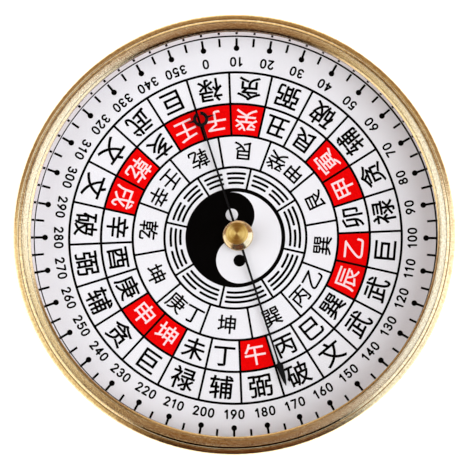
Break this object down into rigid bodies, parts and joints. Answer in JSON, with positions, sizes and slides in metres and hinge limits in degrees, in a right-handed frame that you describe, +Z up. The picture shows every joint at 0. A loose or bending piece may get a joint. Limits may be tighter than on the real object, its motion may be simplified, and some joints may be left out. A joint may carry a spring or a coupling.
{
  "type": "feng shui compass",
  "caption": "Round brass-cased feng shui compass with a flat crystal, a printed white ring dial and a black needle turning on a central point under a brass cap.",
  "frame": {"origin": "centre of the flat base", "axes": "+Z up through the crystal; +Y towards the top of the dial as pictured, +X to its right"},
  "size_m": [0.08, 0.08, 0.0113],
  "materials": {
    "case_brass": "turned and polished, warm gold, fine circular lines",
    "bezel_brass": "turned and polished, warm gold, fine circular lines",
    "crystal_clear": "clear, flat, eased edge",
    "seal_rubber": "matt black",
    "polished_wall": "mirror polished, faintly rosy",
    "dial_white": "satin white enamel with a cool cast",
    "ink_black": "printed gloss ink",
    "ink_red": "printed gloss ink",
    "backing_plastic": "moulded, matt black",
    "fitting_brass": "machined, plain",
    "pin_steel": "hardened and polished",
    "needle_black": "blackened steel, low sheen",
    "cap_brass": "turned, with concentric tool marks on the flat top",
    "jewel": "polished cup bearing"
  },
  "bodies": {
    "case": {"case_cup": "case_brass", "bezel_ring": "bezel_brass", "crystal": "crystal_clear", "crystal_gasket": "seal_rubber", "inner_wall_ring": "polished_wall", "dial_plate": "dial_white", "dial_support": "backing_plastic", "pivot_post": "fitting_brass", "pivot_pin": "pin_steel", "pivot_nut": "fitting_brass", "pivot_washer": "pin_steel"},
    "needle": {"needle_blade": "needle_black", "hub_cap": "cap_brass", "hub_jewel": "jewel", "hub_collar": "fitting_brass"}
  },
  "joints": [
    {"name": "needle_spin", "type": "hinge", "parent": "case", "child": "needle", "pos_m": [0.00044, 0.00025, 0.0075], "axis": [0, 0, 1], "continuous": true}
  ]
}
